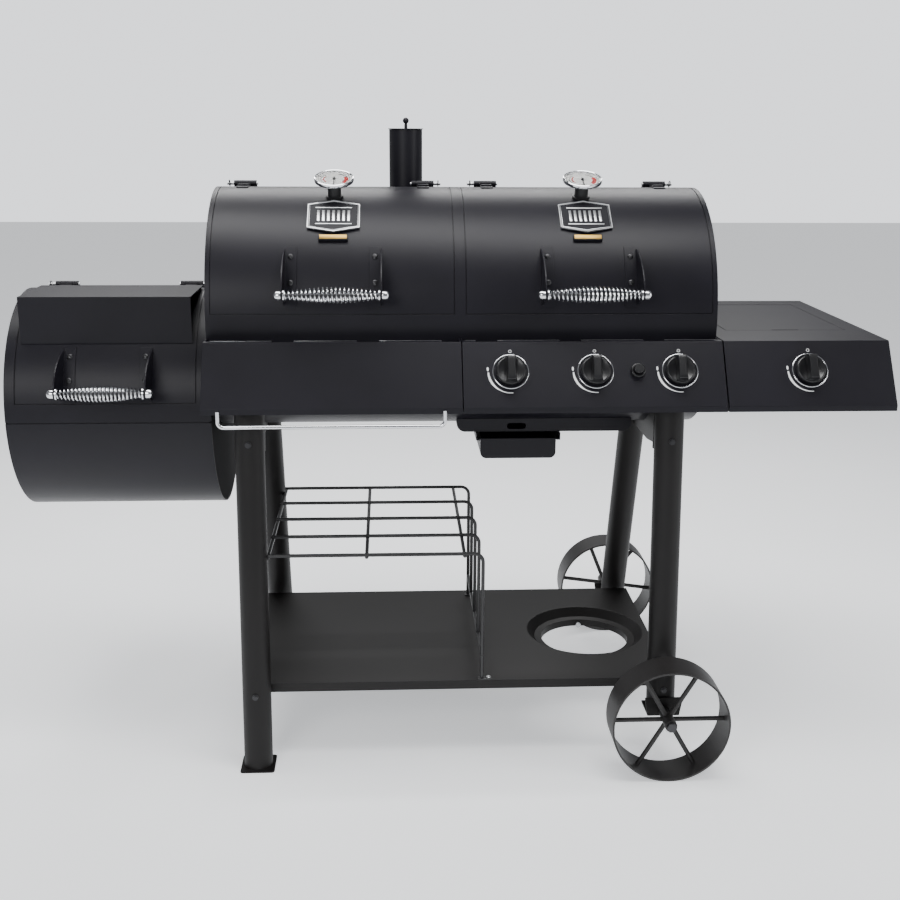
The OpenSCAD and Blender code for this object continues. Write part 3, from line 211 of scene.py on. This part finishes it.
def settle(name, bm, body, finishes, slot, *stands_for):
    """Clean a finished bmesh, give it its finishes and hang it on its body."""
    bmesh.ops.remove_doubles(bm, verts=bm.verts, dist=1e-6)
    bmesh.ops.recalc_face_normals(bm, faces=bm.faces)
    for face in bm.faces:
        face.smooth = True
    for rim in bm.edges:
        if len(rim.link_faces) == 2 and rim.calc_face_angle(0) > 0.7:
            rim.smooth = False
    mesh = bpy.data.meshes.new(name)
    bm.to_mesh(mesh)
    bm.free()
    for finish in finishes:
        mesh.materials.append(finish)
    piece = bpy.data.objects.new(name, mesh)
    bpy.context.collection.objects.link(piece)
    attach(piece, body)
    if stands_for:
        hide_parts(*stands_for)
    return piece


def join_on(bm, part, at, finish):
    """Put a small shape in its place and add it to the piece."""
    bmesh.ops.transform(part, matrix=at, verts=part.verts)
    for face in part.faces:
        face.material_index = finish
    shape = bpy.data.meshes.new("part")
    part.to_mesh(shape)
    part.free()
    bm.from_mesh(shape)
    bpy.data.meshes.remove(shape)


def turned(bm, profile, at=Matrix(), steps=48, finish=0):
    """Turn a (radius, height) profile about Z, then move it to its place."""
    part = bmesh.new()
    points = [part.verts.new((r, 0, h)) for r, h in profile]
    lines = [part.edges.new(pair) for pair in zip(points, points[1:])]
    bmesh.ops.spin(part, geom=points + lines, cent=(0, 0, 0), axis=(0, 0, 1), dvec=(0, 0, 0),
                   angle=2 * math.pi, steps=steps, use_merge=True)
    bmesh.ops.remove_doubles(part, verts=part.verts, dist=1e-7)
    join_on(bm, part, at, finish)


def block(bm, size, at, soft=0.0, finish=0):
    """A block of the given size with softened edges."""
    part = bmesh.new()
    bmesh.ops.create_cube(part, size=1, matrix=Matrix.Diagonal((*size, 1)))
    if soft:
        bmesh.ops.bevel(part, geom=part.edges[:], offset=soft, segments=2, profile=0.5,
                        affect="EDGES", material=-1)
    join_on(bm, part, at, finish)


# Spring grips: each lid handle is a rod between two brackets, held by domed
# nuts, with a barrel-shaped spring wound over it so that it stays cool.
barrel_y, barrel_z, barrel_r = 0.071, 0.954, 0.270
firebox_z, firebox_r = 0.745, 0.250
handle_out = 0.066
wire_r = 0.0018
turns = 22
coil_belly, coil_neck = 0.0167, 0.0080
nut_r = 0.0097
lid_middles = (("smoker", -0.224), ("grill", 0.319))
grips = [(lid, x, barrel_z, barrel_r, 12, 0.204) for lid, x in lid_middles]
grips.append(("firebox", -0.711, firebox_z, firebox_r, 13, 0.188))
for lid, x, z, r, angle, span in grips:
    bm = bmesh.new()
    coil_l = span - 0.010
    ring = bmesh.ops.create_circle(bm, segments=8, radius=wire_r, cap_ends=False,
                                   matrix=Matrix.Translation((-coil_l / 2, 0, coil_belly))
                                   @ Matrix.Rotation(math.pi / 2, 4, "X"))["verts"]
    rims = list({rim for v in ring for rim in v.link_edges})
    steps = turns * 18
    bmesh.ops.spin(bm, geom=ring + rims, cent=(-coil_l / 2, 0, 0), axis=(1, 0, 0),
                   dvec=(coil_l / steps, 0, 0), angle=turns * 2 * math.pi, steps=steps)
    for v in bm.verts:
        t = min(max(v.co.x / coil_l + 0.5, 0), 1)
        out = Vector((0, v.co.y, v.co.z))
        shift = coil_neck + (coil_belly - coil_neck) * math.sin(math.pi * t) - coil_belly
        v.co += out.normalized() * shift
    bmesh.ops.holes_fill(bm, edges=[rim for rim in bm.edges if rim.is_boundary], sides=0)
    # The rod inside the coil takes the dark bolt_black finish as painted shade for the shadow
    # inside the spring; the nuts stay chrome.
    turned(bm, [(0, -span / 2 - 0.008), (0.004, -span / 2 - 0.008), (0.004, span / 2 + 0.008),
                (0, span / 2 + 0.008)], Matrix.Rotation(math.pi / 2, 4, "Y"), 24, 1)
    for end in (-1, 1):
        nut = Matrix.Translation((end * (span / 2 + 0.0016), 0, 0)) \
            @ Matrix.Rotation(end * math.pi / 2, 4, "Y")
        turned(bm, [(0, 0), (0.0095, 0), (nut_r, 0.001), (nut_r, 0.0075), (0.0088, 0.0108),
                    (0.0066, 0.0132), (0.0036, 0.0144), (0, 0.0148)], nut, 32)
        turned(bm, [(0.0042, -0.0075), (0.0125, -0.0075), (0.0125, -0.0045), (0.0042, -0.0045),
                    (0.0042, -0.0075)], nut, 32)
    place = Matrix.Translation((x, barrel_y - (r + handle_out) * math.cos(math.radians(angle)),
                                z + (r + handle_out) * math.sin(math.radians(angle))))
    bmesh.ops.transform(bm, matrix=place, verts=bm.verts)
    settle(lid + "_spring_grip", bm, lid + "_lid_body", [chrome, bolt_black], "chrome",
           lid + "_grip")


# Heat gauges: a black stem through the lid carries a chromed case with a white
# dial, printed marks, a red band for too hot and a domed glass.
def on_drum(x, angle, z=barrel_z, r=barrel_r):
    """The place on a drum's skin at an angle up from its front: Z points outwards."""
    a = math.radians(angle)
    return Matrix.Translation((x, barrel_y - r * math.cos(a), z + r * math.sin(a))) \
        @ Matrix.Rotation(math.radians(90 - angle), 4, "X")


dial_white = paint("dial_white", (0.90, 0.90, 0.88), 0.45, 0.02)
dial_black = paint("dial_black", (0.015, 0.015, 0.016), 0.45, 0.05)
dial_red = paint("dial_red", (0.62, 0.03, 0.025), 0.45, 0.05)
glass = bpy.data.materials.new("gauge_glass")
glass.use_nodes = True
glass_shader = glass.node_tree.nodes["Principled BSDF"]
glass_shader.inputs["Transmission Weight"].default_value = 1.0
glass_shader.inputs["Roughness"].default_value = 0.02
glass_shader.inputs["IOR"].default_value = 1.1
gauge_a = 69.6
dial_r, ink_h, ink_t = 0.0397, 0.04143, 0.0001
marks, mark_step = 41, 6.75
for lid, x in lid_middles:
    seat = on_drum(x, gauge_a)
    bm = bmesh.new()
    turned(bm, [(0, -0.058), (0.002, -0.059), (0.0038, -0.055), (0.0038, 0.002),
                (0.0185, 0.0005), (0.0190, 0.001), (0.0190, 0.0034), (0.0180, 0.004),
                (0.0146, 0.004), (0.0146, 0.031), (0, 0.031)], seat, 48, 1)
    turned(bm, [(0, 0.030), (0.0165, 0.030), (0.0180, 0.032), (0.0400, 0.0370), (0.0425, 0.0378),
                (0.0430, 0.0390), (0.0430, 0.0440), (0.0426, 0.0453), (0.0415, 0.0459),
                (0.0404, 0.0453), (0.0400, 0.0442), (0.0398, 0.0412), (0, 0.0412)], seat, 72, 0)
    settle(lid + "_gauge_case", bm, lid + "_lid_body", [chrome, dial_black], "chrome",
           lid + "_gauge")
    bm = bmesh.new()
    turned(bm, [(0, 0.04122), (dial_r, 0.04122), (dial_r, 0.04136), (0, 0.04136)], seat, 72, 0)
    for mark in range(marks):
        turn = Matrix.Rotation(math.radians(-135 + mark * mark_step), 4, "Z")
        long = mark % 5 == 0
        block(bm, (0.0009 if long else 0.0005, 0.0050 if long else 0.0028, ink_t),
              seat @ turn @ Matrix.Translation((0, 0.0350, ink_h)), finish=1)
    for first, last, radius, wide, ink in (
            (-135, -40, 0.0285, 0.0012, 1), (-130, -50, 0.0225, 0.0030, 2),
            (20, 60, 0.0285, 0.0022, 1), (64, 135, 0.0265, 0.0090, 2)):
        steps = 24
        for k in range(steps):
            a = math.radians(-(first + (last - first) * (k + 0.5) / steps))
            turn = Matrix.Rotation(a, 4, "Z")
            block(bm, (math.radians(abs(last - first)) * radius / steps * 1.05, wide, ink_t),
                  seat @ turn @ Matrix.Translation((0, radius, ink_h)), finish=ink)
    settle(lid + "_gauge_dial", bm, lid + "_lid_body", [dial_white, dial_black, dial_red],
           "chrome")
    bm = bmesh.new()
    turned(bm, [(0, 0.0456), (0.014, 0.04555), (0.027, 0.0454), (dial_r, 0.0450),
                (dial_r, 0.0446), (0.027, 0.0450), (0.014, 0.04515), (0, 0.0452)], seat, 72, 0)
    settle(lid + "_gauge_glass", bm, lid + "_lid_body", [glass], "chrome")
    dress(dial_black, lid + "_gauge_needle")

# Badges: a stamped plate with a raised silver rim on a dark enamel field, with
# a plain row of grill bars, and a small brass bar under it on a black block that
# stands it off the lid; the edge of the block showing below the bar is a painted shadow.
silver = paint("satin_silver", (0.62, 0.63, 0.64), 0.3, 0.08, 0.15, 0.0009, metal=0.9, worn=0.2)
enamel = paint("badge_enamel", (0.010, 0.010, 0.013), 0.42, 0.1, shine=0.2)
brass = paint("brushed_brass", (0.46, 0.29, 0.08), 0.42, 0.15, 0.2, 0.0008, metal=1.0, worn=0.3)
badge_a, bar_a = 53, 39.8
half_w, half_h, peak = 0.056, 0.0365, 0.0495
relief = (0.0010, 0.0036)
for lid, x in lid_middles:
    bm = bmesh.new()
    seat = on_drum(x, badge_a)
    outline = [(-half_w, -half_h), (0, -peak), (half_w, -half_h), (half_w, half_h), (0, peak),
               (-half_w, half_h)]
    plate = bm.faces.new([bm.verts.new((px, py, 0.0006)) for px, py in outline])
    lifted = bmesh.ops.extrude_face_region(bm, geom=[plate])["geom"]
    bmesh.ops.translate(bm, vec=(0, 0, 0.0034),
                        verts=[g for g in lifted if isinstance(g, bmesh.types.BMVert)])
    top = [g for g in lifted if isinstance(g, bmesh.types.BMFace)][0]
    for width, drop, ink in ((0.0008, 0, 0), (0.0018, 0, 0), (0.0005, -0.0009, 0),
                             (0.0022, 0, 1), (0.0008, 0.0004, 0), (0.0004, -0.0004, 1)):
        bmesh.ops.inset_region(bm, faces=[top], thickness=width, depth=drop)
        top.material_index = 1
        for rim in top.edges:
            for face in rim.link_faces:
                if face is not top:
                    face.material_index = ink
    for bar in range(-3, 4):
        block(bm, (0.0052, 0.034, relief[0]),
              Matrix.Translation((bar * 0.0108, 0, relief[1])), 0.0004, 0)
    for rail in (-0.0255, 0.0255):
        block(bm, (0.078, 0.0026, relief[0]),
              Matrix.Translation((0, rail, relief[1])), 0.0004, 0)
    bmesh.ops.transform(bm, matrix=seat, verts=bm.verts)
    low = on_drum(x, bar_a)
    # The black block stands the brass bar off the lid; the part of it showing below the bar is a
    # painted shadow.
    block(bm, (0.062, 0.013, 0.0066), low @ Matrix.Translation((0, 0, 0.0036)), 0.0008, 1)
    block(bm, (0.058, 0.0105, 0.0014), low @ Matrix.Translation((0, 0.0008, 0.0073)), 0.0005, 2)
    settle(lid + "_badge_plate", bm, lid + "_lid_body", [silver, enamel, brass],
           "badge_enamel", lid + "_badge")

# Handle screws: pan-head screws pass up through each bracket's flange into a
# nut inside the lid, two to a bracket.
screw_inset, flange_h = 0.0135, 0.0022
for lid, x, z, r, angle, span in grips:
    bm = bmesh.new()
    for end in (-1, 1):
        for up in (angle + 6.6, angle + 18.7):
            seat = on_drum(x + end * (span / 2 - screw_inset), up, z, r) \
                @ Matrix.Translation((0, 0, flange_h))
            turned(bm, [(0, 0.0001), (0.0058, 0.0001), (0.0060, 0.0012), (0.0050, 0.0026),
                        (0.0030, 0.0034), (0, 0.0036)], seat, 24)
            # The cross slots are dark raised bars, painted shade standing for the recess of each
            # slot.
            for cross in (0, math.pi / 2):
                block(bm, (0.0050, 0.0009, 0.0010), seat @ Matrix.Rotation(cross, 4, "Z")
                      @ Matrix.Translation((0, 0, 0.0032)), finish=1)
    settle(lid + "_handle_screws", bm, lid + "_lid_body", [bolt_black, dial_black],
           "zinc_steel")

# Hinge clips: a bent wire hairpin through the end of each hinge pin keeps it
# in its knuckles.
hinges = [(-0.432, -1, barrel_z, barrel_r), (-0.028, 1, barrel_z, barrel_r),
          (0.116, -1, barrel_z, barrel_r), (0.509, 1, barrel_z, barrel_r),
          (-0.850, -1, firebox_z, firebox_r), (-0.564, 1, firebox_z, firebox_r)]
hinge_a, hinge_rise, pin_end = math.radians(98), 0.008, 0.0354
bm = bmesh.new()
for x, out, z, r in hinges:
    end = Vector((x + out * pin_end, barrel_y - (r + hinge_rise) * math.cos(hinge_a),
                  z + (r + hinge_rise) * math.sin(hinge_a)))
    loop = bmesh.new()
    bmesh.ops.create_circle(loop, segments=8, radius=0.0011, cap_ends=False,
                            matrix=Matrix.Translation((0.0072, 0, 0))
                            @ Matrix.Rotation(math.pi / 2, 4, "X"))
    bmesh.ops.spin(loop, geom=loop.verts[:] + loop.edges[:], cent=(0, 0, 0), axis=(0, 0, 1),
                   dvec=(0, 0, 0), angle=2 * math.pi, steps=28, use_merge=True)
    join_on(bm, loop, Matrix.Translation(end + Vector((0, -0.0045, 0.001)))
            @ Matrix.Rotation(math.radians(62), 4, "X") @ Matrix.Rotation(math.pi / 2, 4, "Y")
            @ Matrix.Diagonal((1.35, 0.75, 1, 1)), 0)
settle("hinge_clips", bm, "cart", [bolt_black], "zinc_steel")

# Control knobs: moulded black plastic with a round skirt and a waisted grip
# ridge, turning in a chromed ring.
knob_black = paint("knob_plastic", (0.008, 0.008, 0.009), 0.28, 0.1, 0.12, 0.0009,
                   coat=0.12, worn=0.1)
print_white = paint("print_white", (0.92, 0.93, 0.94), 0.5, 0.03)
slope = math.radians(32.5)
panel_front, panel_top = -0.247, 0.925


def on_slope(x, drop):
    """A place on the sloping front panels, drop metres below the top edge."""
    return Matrix.Translation((x, panel_front - drop * math.sin(slope),
                               panel_top - drop * math.cos(slope))) \
        @ Matrix.Rotation(math.pi / 2 - slope, 4, "X")


knob_places = [0.144, 0.3215, 0.499, 0.7745]
igniter_x = 0.41025
knob_drop, off_mark_drop = 0.067, 0.0215
ridge_w, ridge_flare, ridge_l, ridge_h, skirt_h = 0.0215, 0.0040, 0.0560, 0.0178, 0.0118
for number, x in enumerate(knob_places, 1):
    seat = on_slope(x, knob_drop)
    bm = bmesh.new()
    turned(bm, [(0.0045, 0.0036), (0.0300, 0.0036), (0.0309, 0.0042), (0.0310, 0.0052),
                (0.0304, 0.0115), (0.0296, 0.0126), (0.0280, 0.0131), (0.0262, 0.0128),
                (0.0245, 0.0118), (0, 0.0116)], seat, 72)
    ridge = bmesh.new()
    bmesh.ops.create_cube(ridge, size=1)
    bmesh.ops.subdivide_edges(ridge, edges=ridge.edges[:], cuts=5, use_grid_fill=True)
    for v in ridge.verts:
        along = v.co.y * 2
        up = v.co.z + 0.5
        v.co = Vector((v.co.x * (ridge_w + ridge_flare * along * along) * (1.0 - 0.25 * up),
                       v.co.y * (ridge_l - 0.004 * up), skirt_h + up * ridge_h))
    hard = [rim for rim in ridge.edges if rim.calc_face_angle(0) > 0.8]
    bmesh.ops.bevel(ridge, geom=hard, offset=0.0016, segments=3, profile=0.5, affect="EDGES",
                    material=-1)
    join_on(bm, ridge, seat, 0)
    settle("knob_%d_moulding" % number, bm, "knob_%d_body" % number, [knob_black], "knob_plastic",
           "knob_%d" % number)

# Knob rings: thin turned rings, chromed, pressed onto the panel round each
# knob, and the moulded collar that the igniter button slides in.
bm = bmesh.new()
for x in knob_places:
    turned(bm, [(0.0352, 0), (0.0385, 0), (0.0385, 0.0012), (0.0381, 0.0020), (0.0374, 0.0025),
                (0.0364, 0.0025), (0.0356, 0.0020), (0.0352, 0.0012), (0.0352, 0)],
           on_slope(x, knob_drop), 96)
turned(bm, [(0.0104, 0), (0.0155, 0), (0.0155, 0.0070), (0.0148, 0.0084), (0.0136, 0.0090),
            (0.0112, 0.0090), (0.0104, 0.0084), (0.0104, 0)], on_slope(igniter_x, knob_drop), 48, 1)
settle("knob_ring_set", bm, "cart", [chrome, knob_black], "chrome", "knob_rings")
dress(knob_black, "igniter_button")

# Panel marks: white screen print beside each knob, a ring for off at the top
# and a crescent that narrows from a small flame at the left to the bottom.
bm = bmesh.new()
crescent_from, crescent_sweep, crescent_steps = 182, 92, 30
for x in knob_places:
    seat = on_slope(x, knob_drop)
    turned(bm, [(0.0024, 0.0001), (0.0034, 0.0001), (0.0034, 0.0003), (0.0024, 0.0003),
                (0.0024, 0.0001)], on_slope(x, off_mark_drop), 32)
    for k in range(crescent_steps):
        t = (k + 0.5) / crescent_steps
        turn = Matrix.Rotation(math.radians(crescent_from + crescent_sweep * t), 4, "Z")
        block(bm, (0.0030 + 0.0022 * math.sin(math.pi * min(1, t * 1.6)) - 0.0014 * t,
                   math.radians(crescent_sweep) * 0.047 / crescent_steps * 1.12, 0.0002),
              seat @ turn @ Matrix.Translation((0.0465, 0, 0.0002)))
    turned(bm, [(0, 0.0001), (0.0030, 0.0001), (0.0030, 0.0003), (0, 0.0003)],
           seat @ Matrix.Translation((-0.0475, 0.0060, 0)) @ Matrix.Diagonal((0.7, 1.5, 1, 1)),
           24)
settle("panel_print", bm, "cart", [print_white], "chrome")

# Flange tabs: the folded top edges of the front panels reach back towards the
# drum in tabs; thin pale silver strips along them are painted highlights for the light their top
# edges catch.
tab_y, tab_z = -0.2286, 0.9243
bm = bmesh.new()
for left, right in ((-0.480, -0.352), (-0.306, -0.1745), (-0.1285, 0.003), (0.052, 0.074),
                    (0.120, 0.2515), (0.2975, 0.429), (0.475, 0.586)):
    block(bm, (right - left, 0.0012, 0.0018),
          Matrix.Translation(((left + right) / 2, tab_y, tab_z)), 0.0003)
settle("panel_tab_highlights", bm, "cart", [silver], "chrome")

# Wire rack: five steel wires lie front to back, bend down and reach the shelf,
# welded to cross wires, with two small feet bolted down. Black paint.
rack_black = paint("rack_black", (0.016, 0.016, 0.017), 0.38, 0.15, 0.2, 0.0012, worn=0.1)
bm = bmesh.new()
rack_left, rack_right, rack_top, rack_low, rack_front = -0.374, 0.092, 0.470, 0.230, -0.286
rod, bend = 0.004, 0.020
rack_pitch, rack_depth, foot_top = 0.1225, 0.498, 0.178
for k in range(5):
    y = rack_front + k * rack_pitch
    foot = foot_top if k in (0, 4) else rack_low
    ring = bmesh.ops.create_circle(bm, segments=12, radius=rod, cap_ends=False,
                                   matrix=Matrix.Translation((rack_left, y, rack_top))
                                   @ Matrix.Rotation(math.pi / 2, 4, "Y"))["verts"]
    rims = list({rim for v in ring for rim in v.link_edges})
    run = bmesh.ops.extrude_edge_only(bm, edges=rims)["geom"]
    ends = [g for g in run if isinstance(g, bmesh.types.BMVert)]
    bmesh.ops.translate(bm, vec=(rack_right - bend - rack_left, 0, 0), verts=ends)
    rims = [g for g in run
            if isinstance(g, bmesh.types.BMEdge) and all(v in ends for v in g.verts)]
    run = bmesh.ops.spin(bm, geom=ends + rims, cent=(rack_right - bend, y, rack_top - bend),
                         axis=(0, 1, 0), dvec=(0, 0, 0), angle=math.pi / 2,
                         steps=10)["geom_last"]
    rims = [g for g in run if isinstance(g, bmesh.types.BMEdge)]
    run = bmesh.ops.extrude_edge_only(bm, edges=rims)["geom"]
    ends = [g for g in run if isinstance(g, bmesh.types.BMVert)]
    bmesh.ops.translate(bm, vec=(0, 0, foot - (rack_top - bend)), verts=ends)
bmesh.ops.holes_fill(bm, edges=[rim for rim in bm.edges if rim.is_boundary], sides=0)
for x, z in ((rack_left + 0.004, rack_top - rod), (rack_left + 0.215, rack_top - rod),
             (rack_left + 0.426, rack_top - rod), (rack_right, rack_low)):
    turned(bm, [(0, 0), (rod * 0.8, 0), (rod, 0.0006), (rod, rack_depth - 0.0006),
                (rod * 0.8, rack_depth), (0, rack_depth)],
           Matrix.Translation((x, rack_front - rod, z)) @ Matrix.Rotation(-math.pi / 2, 4, "X"), 16)
for k in (0, 4):
    y = rack_front + k * rack_pitch
    block(bm, (0.030, 0.016, 0.003),
          Matrix.Translation((rack_right + 0.007, y, foot_top - 0.0014)), 0.0008)
    turned(bm, [(0, 0), (0.005, 0), (0.005, 0.0022), (0.0036, 0.0036), (0, 0.0042)],
           Matrix.Translation((rack_right + 0.015, y, foot_top)), 20, 1)
settle("bent_wire_rack", bm, "cart", [rack_black, zinc], "cart_paint", "wire_rack", "rack_crosses")
